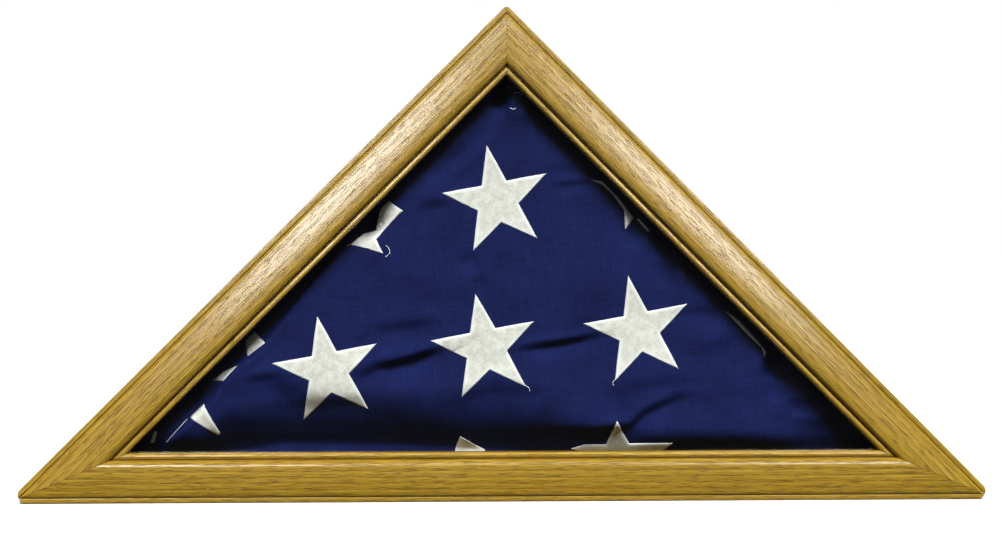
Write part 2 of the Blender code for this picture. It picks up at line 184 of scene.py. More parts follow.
def wire_mesh(curve):
    """A bevelled curve as a bmesh, with its doubled vertices joined."""
    item = in_scene("wire", curve)
    data = evaluated_mesh(item)
    bpy.data.objects.remove(item, do_unlink=True)
    mesh = bmesh.new()
    mesh.from_mesh(data)
    bmesh.ops.remove_doubles(mesh, verts=mesh.verts, dist=WELD)
    return mesh


def copy_of_node(node):
    """A CAD node's mesh with its loose triangles joined into flat faces."""
    mesh = bmesh.new()
    mesh.from_mesh(NODES[node].data)
    bmesh.ops.remove_doubles(mesh, verts=mesh.verts, dist=0.01 * MM)
    bmesh.ops.dissolve_limit(mesh, angle_limit=math.radians(1), verts=mesh.verts, edges=mesh.edges)
    return mesh


def ease(mesh, width, segments, angle=40):
    """Round every edge that is sharper than an angle."""
    edges = [e for e in mesh.edges if e.is_manifold and e.calc_face_angle() > math.radians(angle)]
    bmesh.ops.bevel(mesh, geom=edges, offset=width, offset_type="OFFSET", segments=segments, profile=0.5,
                    affect="EDGES", clamp_overlap=True, material=-1)


def bend(start, pull, end, steps):
    """Points of a curve that leaves start towards pull and comes to end from it."""
    points = []
    for step in range(steps + 1):
        t = step / steps
        points.append(tuple((1 - t) ** 2 * a + 2 * t * (1 - t) * b + t ** 2 * c
                            for a, b, c in zip(start, pull, end)))
    return points


def arc(centre, radius, first, last, steps):
    """Points of an arc, with its angles in degrees."""
    angles = [math.radians(first + (last - first) * step / steps) for step in range(steps + 1)]
    return [(centre[0] + radius * math.cos(a), centre[1] + radius * math.sin(a)) for a in angles]


def outline_face(mesh, points):
    """One flat face in the XZ plane."""
    return mesh.faces.new([mesh.verts.new((x, 0, z)) for x, z in points])


def thicken(mesh, faces, vector):
    """Carry flat faces along a vector into a solid."""
    carried = bmesh.ops.extrude_face_region(mesh, geom=faces, use_keep_orig=True)
    far = [part for part in carried["geom"] if isinstance(part, bmesh.types.BMVert)]
    bmesh.ops.translate(mesh, verts=far, vec=vector)


def spun(profile, steps):
    """A profile of (radius, height) points turned about Z, closed at its poles."""
    mesh = bmesh.new()
    verts = [mesh.verts.new((radius, 0, height)) for radius, height in profile]
    edges = [mesh.edges.new(pair) for pair in zip(verts, verts[1:])]
    bmesh.ops.spin(mesh, geom=verts + edges, cent=(0, 0, 0), axis=(0, 0, 1), angle=2 * math.pi,
                   steps=steps, use_merge=True)
    bmesh.ops.remove_doubles(mesh, verts=mesh.verts, dist=WELD)
    bmesh.ops.recalc_face_normals(mesh, faces=mesh.faces)
    return mesh


def clip(mesh, point, normal):
    """Saw off what lies beyond a plane and close the cut."""
    geometry = mesh.verts[:] + mesh.edges[:] + mesh.faces[:]
    sawn = bmesh.ops.bisect_plane(mesh, geom=geometry, dist=0.0001 * MM, plane_co=point, plane_no=normal,
                                  clear_outer=True)
    rim = [part for part in sawn["geom_cut"] if isinstance(part, bmesh.types.BMEdge)]
    if rim:
        bmesh.ops.contextual_create(mesh, geom=rim)


# ---------------------------------------------------------------- oak frame


def moulding_section():
    """Across the moulding from the outer edge inward, as (inward, level behind the crest), in mm.

    An outer strip, a fine quirk, the crowned face with its shoulder, a cove, the lip and the rabbet.
    """
    section = [(0, 19)]
    section += bend((0, 3.6), (0, 2.8), (0.8, 2.8), 4)
    section += bend((3, 2.8), (3.3, 2.8), (3.3, 3.1), 3)
    section += bend((3.35, 3.3), (3.55, 3.8), (3.8, 3.3), 3)
    section += bend((3.8, 2.9), (4, 2.1), (6, 1.75), 8)
    section += bend((6, 1.75), (14, 0), (24, 0.15), 20)[1:]
    section += bend((24, 0.15), (27.9, 0.4), (28.3, 4.2), 12)[1:]
    section += bend((28.3, 5.1), (28.55, 5.7), (28.8, 5.1), 3)
    section += bend((28.8, 4.9), (29.2, 3.9), (30.7, 3.9), 6)
    section += bend((31, 3.9), (32.9, 4.1), (33, 6.8), 9)
    return section + [(33, 12.5), (27, 12.5), (27, 19)]


def board_section():
    """Across a box board, as (inward, depth behind its front edge), in mm, with the back's rabbet."""
    depth = (BOX_BACK - BOX_FRONT) / MM
    thickness = BOARD_THICKNESS / MM
    rim = (BOARD_THICKNESS - BACK_RABBET_WIDTH) / MM
    floor = depth - BACK_RABBET_DEPTH / MM
    section = bend((0.35, 0), (0, 0), (0, 0.35), 2)[::-1]
    section += bend((thickness - 0.3, 0), (thickness, 0), (thickness, 0.3), 2)
    section += [(thickness, floor), (rim, floor)]
    section += bend((rim, depth - 0.4), (rim, depth), (rim - 0.4, depth), 3)
    return section + bend((0.9, depth), (0, depth), (0, depth - 0.9), 4)


def mitred_bar(side, section, front):
    """A section carried along a side, sawn on its mitres and rounded at the outer corners."""
    mesh = bmesh.new()
    start = -side.length / 2
    ring = [mesh.verts.new((start, front + level * MM, inward * MM)) for inward, level in section]
    thicken(mesh, [mesh.faces.new(ring)], (side.length, 0, 0))
    for end, angle in ((-1, side.start_angle), (1, side.end_angle)):
        corner = Vector((end * side.length / 2, 0, 0))
        away = Vector((end * math.sin(angle / 2), 0, math.cos(angle / 2)))
        clip(mesh, corner - away * MITRE_GAP / 2, away)
        radius = APEX_RADIUS if angle == APEX_ANGLE else TIP_RADIUS
        inward = Vector((-end * math.cos(angle / 2), 0, math.sin(angle / 2)))
        centre = corner + inward * radius / math.sin(angle / 2)
        sweep = math.pi / 2 - angle / 2
        for step in range(1, CORNER_STEPS + 1):
            lean = sweep * step / CORNER_STEPS
            outward = Vector((end * math.sin(lean), 0, -math.cos(lean)))
            clip(mesh, centre + outward * radius, outward)
    bmesh.ops.transform(mesh, matrix=side_matrix(side), verts=mesh.verts)
    return mesh


def make_frame():
    """The three mouldings and the three box boards, each with its grain along its own side."""
    for name, side in SIDES.items():
        finish = lacquered_oak(name, side)
        moulding = mitred_bar(side, moulding_section(), MOULDING_FRONT)
        add_piece("moulding_" + name + "_oak", moulding, finish, "box", ["moulding_" + name])
        board = mitred_bar(side, board_section(), BOX_FRONT)
        add_piece("box_" + name + "_oak", board, finish, "box", ["box_" + name])


# ---------------------------------------------------------------- rear hardware


def screw_places():
    """Name, side, place along the side, and underside of the head, for every rear screw."""
    on_button = BOX_BACK + BUTTON_THICKNESS + 2 * CLEAR
    on_strap = BOX_BACK + STRAP_THICKNESS + 2 * CLEAR
    places = [("button_screw_" + name, side_name, along, on_button) for name, side_name, along, _ in BUTTONS]
    for name, side_name, along, to_apex in HANGERS:
        for hole, offset in STRAP_HOLES.items():
            places.append((f"hanger_screw_{name}_{hole}", side_name, along + offset * to_apex, on_strap))
    return places


def pan_head_screw():
    """A pan head with a cross recess, and its shank down in the wood."""
    section = bend((0, 1.8), (2.6, 1.8), (3, 0.7), 8)
    section += [(3, 0.25), (2.85, 0), (1.2, 0), (1.2, -11), (0, -13.7)]
    screw = spun([(radius * MM, height * MM) for radius, height in section], 40)
    blank = in_scene("blank", written(screw, "head"))
    cutters = []
    for turn in (0, 90):
        blade = bmesh.new()
        bmesh.ops.create_cone(blade, cap_ends=True, segments=4, radius1=0.2 * MM, radius2=2.3 * MM,
                              depth=2.2 * MM, matrix=Matrix.Rotation(math.radians(45), 4, "Z"))
        bmesh.ops.scale(blade, vec=(1, 0.34, 1), verts=blade.verts)
        matrix = Matrix.Translation((0, 0, 1.6 * MM)) @ Matrix.Rotation(math.radians(turn), 4, "Z")
        bmesh.ops.transform(blade, matrix=matrix, verts=blade.verts)
        cutter = in_scene("blade", written(blade, "blade"))
        boolean = blank.modifiers.new("recess", "BOOLEAN")
        boolean.object = cutter
        cutters.append(cutter)
    finished = evaluated_mesh(blank)
    for item in [blank] + cutters:
        bpy.data.objects.remove(item, do_unlink=True)
    return finished


def make_screws(finish):
    """Every rear screw, each driven to its own angle."""
    screw = pan_head_screw()
    upright = Matrix.Rotation(-math.pi / 2, 4, "X")
    for number, (name, side_name, along, head) in enumerate(screw_places()):
        mesh = bmesh.new()
        mesh.from_mesh(screw)
        driven = Matrix.Rotation(math.radians(SCREW_TURN * number), 4, "Z")
        matrix = place_on_side(SIDES[side_name], along, EDGE_MIDDLE, head) @ upright @ driven
        bmesh.ops.transform(mesh, matrix=matrix, verts=mesh.verts)
        add_piece(name + "_steel", mesh, finish, "box", [name], even=False)


def plate_with_holes(outline, holes, thickness):
    """A flat plate between an outline and round holes, as (centre, radius), facing along Y."""
    mesh = bmesh.new()
    loops = [outline] + [arc((x, 0), radius, 0, 345, 23) for x, radius in holes]
    edges = []
    for loop in loops:
        verts = [mesh.verts.new((x, 0, z)) for x, z in loop]
        edges += [mesh.edges.new(pair) for pair in zip(verts, verts[1:] + verts[:1])]
    filled = bmesh.ops.triangle_fill(mesh, edges=edges, use_beauty=True, use_dissolve=False)
    faces = [part for part in filled["geom"] if isinstance(part, bmesh.types.BMFace)]
    thicken(mesh, faces, (0, thickness, 0))
    bmesh.ops.recalc_face_normals(mesh, faces=mesh.faces)
    return mesh


def make_turn_buttons(finish):
    """Six stamped buttons with rounded ends and a pressed rib, each on its own screw."""
    half = BUTTON_WIDTH / 2
    outline = arc((BUTTON_REACH - half, 0), half, -90, 90, 16) + arc((0, 0), half, 90, 270, 16)
    for name, side_name, along, facing in BUTTONS:
        mesh = plate_with_holes(outline, [(0, SHANK_RADIUS + 2 * CLEAR)], BUTTON_THICKNESS)
        ease(mesh, 0.2 * MM, 2, 60)
        raise_rib(mesh, ends=(7.5 * MM, 18 * MM), half_width=1.6 * MM, height=0.45 * MM)
        matrix = place_on_side(SIDES[side_name], along, EDGE_MIDDLE, BOX_BACK + CLEAR, facing)
        bmesh.ops.transform(mesh, matrix=matrix, verts=mesh.verts)
        node = "turn_button_" + name
        add_piece(node + "_steel", mesh, finish, "button_" + name, [node])


def raise_rib(mesh, ends, half_width, height):
    """Set a pressed rib on the outer face of a plate: a low, long dome between two places along X."""
    rib = bmesh.new()
    bmesh.ops.create_uvsphere(rib, u_segments=24, v_segments=12, radius=1)
    bmesh.ops.bisect_plane(rib, geom=rib.verts[:] + rib.edges[:] + rib.faces[:], plane_co=(0, -0.2, 0),
                           plane_no=(0, -1, 0), clear_outer=True)
    open_rim = [edge for edge in rib.edges if edge.is_boundary]
    bmesh.ops.contextual_create(rib, geom=open_rim)
    half_length = (ends[1] - ends[0]) / 2
    bmesh.ops.scale(rib, vec=(half_width, height, half_width), verts=rib.verts)
    for vert in rib.verts:
        vert.co.x += math.copysign(half_length - half_width, vert.co.x) if abs(vert.co.x) > 1e-6 else 0
    bmesh.ops.translate(rib, vec=((ends[0] + ends[1]) / 2, BUTTON_THICKNESS, 0), verts=rib.verts)
    mesh.from_mesh(written(rib, "rib"))


def make_hangers(finish):
    """Two strap hangers near the apex, each with its D ring in the rolled end."""
    axis_depth = BOX_BACK + CLEAR + STRAP_THICKNESS + WIRE_RADIUS + CLEAR
    for name, side_name, along, to_apex in HANGERS:
        matrix = place_on_side(SIDES[side_name], along, EDGE_MIDDLE, axis_depth, to_apex)
        strap = rolled_strap()
        bmesh.ops.transform(strap, matrix=matrix, verts=strap.verts)
        node = "hanger_strap_" + name
        add_piece(node + "_steel", strap, finish, "box", [node])
        ring = wire_ring()
        bmesh.ops.transform(ring, matrix=matrix, verts=ring.verts)
        node = "hanger_ring_" + name
        add_piece(node + "_steel", ring, finish, "ring_" + name, [node], even=False)


def rolled_strap():
    """A strap of sheet steel with a rounded end and two holes, rolled into a tube at its other end."""
    half = STRAP_WIDTH / 2
    flat_end = -2 * MM
    outline = [(flat_end, -half), (flat_end, half)] + arc((half - STRAP_LENGTH, 0), half, 90, 270, 16)
    holes = [(offset, SHANK_RADIUS + 2 * CLEAR) for offset in STRAP_HOLES.values()]
    outer = WIRE_RADIUS + CLEAR + STRAP_THICKNESS
    mesh = plate_with_holes(outline, holes, STRAP_THICKNESS)
    bmesh.ops.translate(mesh, vec=(0, -outer, 0), verts=mesh.verts)
    ease(mesh, 0.12 * MM, 2, 60)
    roll = bmesh.new()
    start = [(flat_end, -outer), (flat_end, -outer + STRAP_THICKNESS)]
    verts = [roll.verts.new((x, y, -half)) for x, y in start + [(0, -outer + STRAP_THICKNESS), (0, -outer)]]
    thicken(roll, [roll.faces.new(verts)], (0, 0, 2 * half))
    bmesh.ops.recalc_face_normals(roll, faces=roll.faces)
    end = max(roll.faces, key=lambda face: face.calc_center_median().x)
    bmesh.ops.spin(roll, geom=[end] + end.edges[:] + end.verts[:], cent=(0, 0, 0), axis=(0, 0, 1),
                   angle=math.radians(STRAP_ROLL), steps=28, use_merge=False)
    bmesh.ops.remove_doubles(roll, verts=roll.verts, dist=WELD)
    mesh.from_mesh(written(roll, "roll"))
    return mesh


def wire_ring():
    """A D of round wire: a straight bar on the hinge axis, two arms and a round end."""
    half_bar = 5.5 * MM
    arm = 6 * MM
    corner = half_bar / 4
    route = [(0, -half_bar / 2), (0, 0), (0, half_bar / 2)]
    route += arc((corner, half_bar - corner), corner, 180, 90, 6)
    route += arc((arm, 0), half_bar, 90, -90, 28)
    route += arc((corner, corner - half_bar), corner, -90, -180, 6)
    curve, spline = wire_curve(WIRE_RADIUS, 4, "POLY")
    spline.points.add(len(route) - 1)
    for point, (along, across) in zip(spline.points, route):
        point.co = (along, 0, across, 1)
    spline.use_cyclic_u = True
    return wire_mesh(curve)


def make_bumpers(finish):
    """Moulded rubber discs with a domed rim and a dished middle."""
    height = CAD_BOX[1][1] - BOX_BACK - CLEAR
    profile = [(0, height - 0.25 * MM), (2 * MM, height - 0.2 * MM), (3.2 * MM, height)]
    profile += bend((3.8 * MM, height), (5 * MM, height), (5 * MM, height - 1.4 * MM), 6)
    profile += [(5 * MM, 0.4 * MM), (4.8 * MM, 0), (0, 0)]
    upright = Matrix.Rotation(-math.pi / 2, 4, "X")
    for name, along in BUMPER_PLACES.items():
        mesh = spun(profile, 48)
        matrix = place_on_side(SIDES["base"], along, EDGE_MIDDLE, BOX_BACK + CLEAR) @ upright
        bmesh.ops.transform(mesh, matrix=matrix, verts=mesh.verts)
        node = "wall_bumper_" + name
        add_piece(node + "_rubber", mesh, finish, "box", [node])


def make_back(panel_finish, felt_finish):
    """The back panel and its lining board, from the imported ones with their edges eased."""
    panel = copy_of_node("back_panel")
    ease(panel, 0.35 * MM, 2, 30)
    add_piece("back_panel_hardboard", panel, panel_finish, "back", ["back_panel"])
    lining = copy_of_node("lining_board")
    ease(lining, 0.7 * MM, 3, 30)
    add_piece("lining_board_felt", lining, felt_finish, "back", ["lining_board"])


# ---------------------------------------------------------------- folded flag

FLAG_LOW, FLAG_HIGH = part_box("folded_flag")
FLAG_MIDDLE = (FLAG_LOW.y + FLAG_HIGH.y) / 2
FLAG_HALF = (FLAG_HIGH.y - FLAG_LOW.y) / 2
FIELD_TURN = math.radians(10.5)  # the star field lies this much anticlockwise of upright
STAR_RADIUS = 37.8
STAR_INNER = 14.6
STAR_POINTS = 20  # tips, inner corners and the middles of the edges between them
LOWEST_STITCH = 25  # mm above the base: below it the cloth turns under, out of sight
STITCH_MESH = 1.7  # longest triangle of an embroidered star, in mm
THREAD_RADIUS = 0.22 * MM
THREAD_LIFT = 0.35 * MM
DRAWN_IN = 0.93  # share of its depth that the bundle starts the cloth simulation with
CLOTH_MESH = 4 * MM
LAYER_THICKNESS = 6.5  # mm of rim to each folded layer
LAYER_GROOVE = 1.9 * MM
GLASS_CLEARANCE = 1.6 * MM
BACK_BULGE = 0.6 * MM

# Creases of the front layer: places as (x, z), then half width and depth, all in mm. The upper
# wall of a crease is the steep one.
Crease = namedtuple("Crease", "route width depth")
CREASE_GAIN = 2.2  # all creases are pressed this much deeper than listed
STEEP_WALL, GENTLE_WALL = 0.7, 1.9  # reach of a crease's upper and lower wall, in its half widths
CREASES = [
    Crease([(-85, 87), (-64, 92), (-40, 100)], 5, 3.2),
    Crease([(-100, 79), (-85, 87), (-70, 89)], 6, 1.4),
    Crease([(6, 99), (50, 106), (68, 110)], 3.5, 2),
    Crease([(-92, 110), (-66, 114), (-40, 117)], 7, 1.1),
    Crease([(-31, 158), (-18, 163)], 6, 0.9),
    Crease([(-24, 143), (-14, 148)], 5, 0.6),
    Crease([(29, 210), (62, 214)], 3, 0.9),
    Crease([(31, 220), (50, 223)], 5, 0.5),
    Crease([(-62, 194), (-34, 198)], 6, 1),
    Crease([(-9, 254), (-28, 233), (-51, 212)], 5, 0.9),
    Crease([(-22, 238), (-40, 222)], 4, 0.6),
    Crease([(36, 44), (60, 42), (86, 46), (96, 56), (118, 66), (130, 67)], 5, 2.2),
    Crease([(92, 188), (84, 168)], 6, 1.2),
    Crease([(110, 162), (113, 143)], 6, 1.1),
    Crease([(118, 123), (148, 125)], 7, 0.9),
    Crease([(179, 80), (183, 96)], 7, 2.2),
    Crease([(199, 54), (199, 68)], 9, 1.8),
    Crease([(-180, 77), (-164, 80), (-148, 82)], 5, 1.2),
    Crease([(-190, 66), (-160, 71), (-130, 70)], 9, 1.2),
    Crease([(-150, 62), (-120, 60), (-90, 64)], 8, 1.1),
    Crease([(-40, 62), (-8, 70), (30, 66)], 9, 1.2),
    Crease([(120, 92), (150, 100), (170, 112)], 10, 0.9),
    Crease([(66, 66), (100, 74), (140, 76)], 8, 0.8),
]

# Folded edges that run over a lower layer: the layer to the right of a route, seen along it, is
# lower. Route in mm, then height of the step and its half width.
Fold = namedtuple("Fold", "route height width")
FOLDS = [
    Fold([(-246, 20), (-228.6, 38.8), (-213, 54), (-197.5, 67.5), (-193, 77), (-180.7, 91.5), (-171, 97),
          (-162.4, 106.5), (-150, 122)], 3.6, 1.4),
]

# Hollows where the cloth turns away behind the lip: centre, radii and depth in mm.
Hollow = namedtuple("Hollow", "centre radii depth")
HOLLOWS = [
    Hollow((-3.7, 272.4), (5, 7), 20),
    Hollow((9, 268), (9, 12), -6),
    Hollow((-92, 188), (8, 8.5), 18),
    Hollow((-212, 70), (7, 9), 4),
    Hollow((222, 42), (26, 13), 8),
    Hollow((190, 78), (12, 26), 4),
    Hollow((112, 168), (14, 16), 2.5),
]

# Along the base the layer turns under: places along X, where it starts to fall back, and where
# it has turned away from the light, all in mm.
ROLL_PLACES = [-246, -206, -185, -150, -60, 0, 27, 44, 100, 160, 246]
ROLL_STARTS = [45, 52, 68, 80, 78, 73, 66, 58, 48, 46, 46]
ROLL_ENDS = [36, 38, 51, 48, 46, 45, 43, 42, 37, 36, 36]


def route_distance(x, z, route):
    """Distance from each point to a route, its side (+ left of the route) and how far along it is."""
    best = np.full(x.shape, 1e9)
    side = np.zeros(x.shape)
    along = np.zeros(x.shape)
    lengths = [math.dist(a, b) for a, b in zip(route, route[1:])]
    done = 0.0
    for (ax, az), (bx, bz), length in zip(route, route[1:], lengths):
        ux, uz = (bx - ax) / length, (bz - az) / length
        t = np.clip((x - ax) * ux + (z - az) * uz, 0, length)
        dx, dz = x - (ax + ux * t), z - (az + uz * t)
        distance = np.hypot(dx, dz)
        nearer = distance < best
        best = np.where(nearer, distance, best)
        side = np.where(nearer, ux * dz - uz * dx, side)
        along = np.where(nearer, (done + t) / sum(lengths), along)
        done += length
    return best, side, along


def smooth_step(value):
    """0 below 0 and 1 above 1, with a smooth rise between."""
    value = np.clip(value, 0, 1)
    return value * value * (3 - 2 * value)


def crease_depth(x, z, crease):
    """A valley with a steep upper wall and a gentle lower one, dying out at both ends."""
    distance, side, along = route_distance(x, z, crease.route)
    reach = crease.width * np.where(side > 0, STEEP_WALL, GENTLE_WALL)
    valley = np.exp(-(distance / reach) ** 2)
    ridge = 0.35 * np.exp(-((side - crease.width * 1.3) / (crease.width * 0.8)) ** 2)
    ridge = ridge * (distance < crease.width * 6)
    return CREASE_GAIN * crease.depth * (valley - ridge) * np.sin(math.pi * np.clip(along, 0.03, 0.97)) ** 0.7


def fold_step(x, z, fold):
    """The lower layer past a folded edge, with the edge itself rolled a little proud."""
    distance, side, _ = route_distance(x, z, fold.route)
    signed = distance * np.sign(side)
    step = smooth_step(0.5 + signed / (2 * fold.width))
    lip = 0.35 * np.exp(-((signed + 2.2 * fold.width) / (2 * fold.width)) ** 2)
    return fold.height * (step - lip)


def undulation(x, z):
    """Low waves over the whole layer, in mm."""
    waves = [noise.noise(Vector((px / 70, pz / 42, 3.1))) * 1.5
             + noise.noise(Vector((px / 30 + pz / 60, pz / 17, 9.7))) * 0.55
             + noise.noise(Vector((px / 12, pz / 9, 5.2))) * 0.12 for px, pz in zip(x, z)]
    return np.array(waves)


def bottom_roll(x, z):
    """How far the layer falls back as it turns under along the base."""
    start = np.interp(x, ROLL_PLACES, ROLL_STARTS)
    end = np.interp(x, ROLL_PLACES, ROLL_ENDS)
    turning = np.clip(start - z, 0, start - end)
    fall = 1.05 * turning ** 2 / (2 * (start - end)) + 0.92 * np.clip(end - z, 0, None)
    return np.minimum(fall, 0.97 * FLAG_HALF / MM)


def front_relief(x, z):
    """How far back the front layer lies at each place, in mm."""
    back = undulation(x, z) + bottom_roll(x, z)
    for crease in CREASES:
        back += crease_depth(x, z, crease)
    for fold in FOLDS:
        back += fold_step(x, z, fold)
    for hollow in HOLLOWS:
        (middle_x, middle_z), (reach_x, reach_z) = hollow.centre, hollow.radii
        away = np.hypot((x - middle_x) / reach_x, (z - middle_z) / reach_z)
        back += hollow.depth * np.exp(-away ** 2.4)
    return back


def positions(data):
    """The vertices of a mesh as rows of x, y and z."""
    flat = np.empty(len(data.vertices) * 3, np.float64)
    data.vertices.foreach_get("co", flat)
    return flat.reshape(-1, 3)


def set_positions(data, places):
    """Move the vertices of a mesh to rows of x, y and z."""
    data.vertices.foreach_set("co", places.astype(np.float32).ravel())
    data.update()


def remeshed_bundle():
    """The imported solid, drawn in a little so that it can swell, in quads a few millimetres wide."""
    data = written(copy_of_node("folded_flag"), "bundle")
    item = in_scene("bundle", data)
    places = positions(data)
    places[:, 1] = FLAG_MIDDLE + (places[:, 1] - FLAG_MIDDLE) * DRAWN_IN
    set_positions(data, places)
    remesh = item.modifiers.new("remesh", "REMESH")
    remesh.mode = "VOXEL"
    remesh.voxel_size = CLOTH_MESH
    even = evaluated_mesh(item)
    item.modifiers.clear()
    item.data = even
    return item


def swell(item, pressure, frames, most):
    """Blow the bundle up as cloth, let no point move further than most, and keep the result."""
    start = positions(item.data)
    cloth = item.modifiers.new("cloth", "CLOTH")
    cloth.settings.use_pressure = True
    cloth.settings.uniform_pressure_force = pressure
    cloth.settings.effector_weights.gravity = 0
    cloth.settings.mass = 0.3
    cloth.settings.quality = 6
    for number in range(1, frames + 1):
        bpy.context.scene.frame_set(number)
    blown = evaluated_mesh(item)
    moved = positions(blown) - start
    distance = np.linalg.norm(moved, axis=1, keepdims=True)
    scale = np.minimum(1, most / np.maximum(distance, 1e-9))
    item.modifiers.clear()
    set_positions(item.data, start + moved * scale)
    bpy.context.scene.frame_set(1)


def shape_layers(item):
    """Press the creases, folds and rolled edges into the bundle's faces and its layers into its rim."""
    data = item.data
    places = positions(data)
    normals = np.array([vert.normal for vert in data.vertices])
    x, y, z = places[:, 0] / MM, places[:, 1], places[:, 2] / MM
    toward_front = np.clip((FLAG_MIDDLE - y) / FLAG_HALF, 0, 1)
    toward_back = np.clip((y - FLAG_MIDDLE) / FLAG_HALF, 0, 1)
    places[:, 1] += front_relief(x, z) * MM * toward_front
    reverse = undulation(x + 400, z) + fold_step(x, z, Fold([(40, 10), (150, 190)], 1.8, 1.5))
    reverse += fold_step(x, z, Fold([(-60, 300), (-60, 10)], 1.4, 1.5))
    places[:, 1] -= reverse * MM * toward_back
    rim = smooth_step((np.hypot(normals[:, 0], normals[:, 2]) - 0.55) / 0.4)
    waver = np.array([noise.noise(Vector((px / 60, pz / 60, 1.5))) for px, pz in zip(x, z)])
    layers = np.abs(np.sin(math.pi * (y / MM / LAYER_THICKNESS + 0.8 * waver))) ** 0.6
    inward = (1 - layers) * LAYER_GROOVE * rim
    places[:, 0] -= normals[:, 0] * inward
    places[:, 2] -= normals[:, 2] * inward
    places[:, 1] = np.clip(places[:, 1], GLASS_BACK + GLASS_CLEARANCE, FLAG_HIGH.y + BACK_BULGE)
    set_positions(data, places)


def lay_weave(data):
    """A UV map in metres that follows the cloth: flat over each face, wrapped round the rim."""
    turn = Matrix.Rotation(-FIELD_TURN, 2)
    layer = data.uv_layers.new(name="weave")
    for polygon in data.polygons:
        flat = abs(polygon.normal.y) > 0.5
        for loop in polygon.loop_indices:
            place = data.vertices[data.loops[loop].vertex_index].co
            if flat:
                layer.data[loop].uv = turn @ Vector((place.x, place.z))
            elif abs(polygon.normal.x) > 0.35:
                layer.data[loop].uv = (place.z * math.sqrt(2), place.y)
            else:
                layer.data[loop].uv = (place.x, place.y)


def make_flag(finish):
    """The folded flag: swollen as cloth, then creased, folded and layered."""
    item = remeshed_bundle()
    swell(item, pressure=4, frames=20, most=3 * MM)
    smoother = item.modifiers.new("finer", "SUBSURF")
    smoother.levels = 1
    smoother.render_levels = 1
    item.data = evaluated_mesh(item)
    item.modifiers.clear()
    shape_layers(item)
    item.data.shade_smooth()
    lay_weave(item.data)
    item.name = "folded_flag_cotton"
    item.data.materials.clear()
    item.data.materials.append(finish)
    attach(item, "flag")
    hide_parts("folded_flag")
    return item


# ---------------------------------------------------------------- embroidered stars

# Whole stars of the front: centre in mm, and height as a share of the full height where the cloth
# turns away.
FRONT_STARS = {
    "top": ((-5.6, 201.6), 1),
    "middle": ((-13.3, 102), 1),
    "right": ((90.4, 113.6), 1),
    "left": ((-120, 86.8), 1),
}
BACK_STARS = {
    "back_top": ((20, 205), 1),
    "back_middle": ((10, 106), 1),
    "back_left": ((-95, 92), 1),
    "back_right": ((115, 120), 1),
    "back_low_left": ((-200, 60), 0.8),
}

# Stars cut short by a fold or by the turn of the cloth: outlines in mm.
CUT_STARS = {
    "left_fold": [(-84.1, 196), (-78.7, 201.5), (-69.2, 194.7), (-78.2, 185.3), (-87.1, 175.5),
                  (-84.5, 170), (-82.1, 165.3), (-92.9, 168.7), (-105, 171.8), (-96.2, 179),
                  (-86.8, 181.7), (-83.4, 184.4), (-84.3, 189.9)],
    "under_middle": [(-33.5, 29), (-32.4, 34), (-29.8, 41.5), (-24, 36.8), (-17, 33.8), (-12, 31),
                     (-14, 28)],
    "under_right": [(46, 32.5), (55, 35.4), (69.9, 35.6), (75.7, 52.4), (80, 44.8), (85.4, 36.4),
                    (100, 36.8), (114.5, 37), (110, 33), (100, 29), (60, 29)],
    "right_fold_high": [(57.7, 215.9), (65.8, 215.2), (77.3, 203.6), (87.5, 189.9), (81.4, 181.7),
                        (80.7, 195.3), (73.3, 205.6), (65.8, 212.4)],
    "right_fold_edge": [(89.2, 189.5), (91.2, 189.8), (98.6, 181.3), (97, 180.4)],
    "right_fold_low": [(148.9, 127.7), (159.7, 120.2), (168.5, 110.6), (178, 99), (176.6, 95.6),
                       (174.6, 101.7), (165.1, 110.6)],
    "left_tuck_high": [(-169.2, 113.3), (-161.7, 105.8), (-173.9, 96.3), (-175.3, 107.2)],
    "left_tuck_middle": [(-180, 90.8), (-190.1, 79.9), (-197.5, 80.5), (-190.8, 86)],
    "left_tuck_low": [(-202.9, 64.8), (-192.1, 44.3), (-193.5, 42.9), (-212.4, 55.9)],
    "left_tip": [(-236.4, 46.4), (-234.4, 46), (-236.4, 38.2), (-239.4, 38.2)],
}

# Loose ends of the embroidery thread: routes in mm.
THREADS = {
    "left_tip_a": [(-213.8, 54.6), (-221, 46.5), (-227.9, 38.8)],
    "left_fold_a": [(-80.7, 171.5), (-78.6, 169), (-78.2, 166), (-81, 163.6)],
    "left_fold_b": [(-105, 172), (-107.2, 170.6)],
    "apex_a": [(5.8, 273.4), (8.3, 274.6), (11.6, 273)],
    "apex_b": [(3.2, 264), (5.4, 263.3), (7, 264.2)],
    "middle_lower_right": [(13.6, 76.8), (16, 75), (16.6, 73)],
    "right_lower_left": [(74.4, 80.6), (72.8, 78.4), (73.3, 76.4)],
}


def star_outline(centre, height, seed):
    """A five-pointed star with slightly bowed edges, as sewn by hand on a machine."""
    draw = random.Random(seed)
    points = []
    for number in range(10):
        radius = STAR_RADIUS if number % 2 == 0 else STAR_INNER
        radius += draw.uniform(-0.5, 0.5)
        angle = math.radians(90 + 36 * number) + FIELD_TURN + draw.uniform(-0.008, 0.008)
        points.append(Vector((radius * math.cos(angle), radius * math.sin(angle))))
    outline = []
    for a, b in zip(points, points[1:] + points[:1]):
        middle = (a + b) / 2
        outline += [a, middle + middle.normalized() * draw.uniform(0, 0.5)]
    return [(centre[0] + p.x, centre[1] + p.y * height) for p in outline]


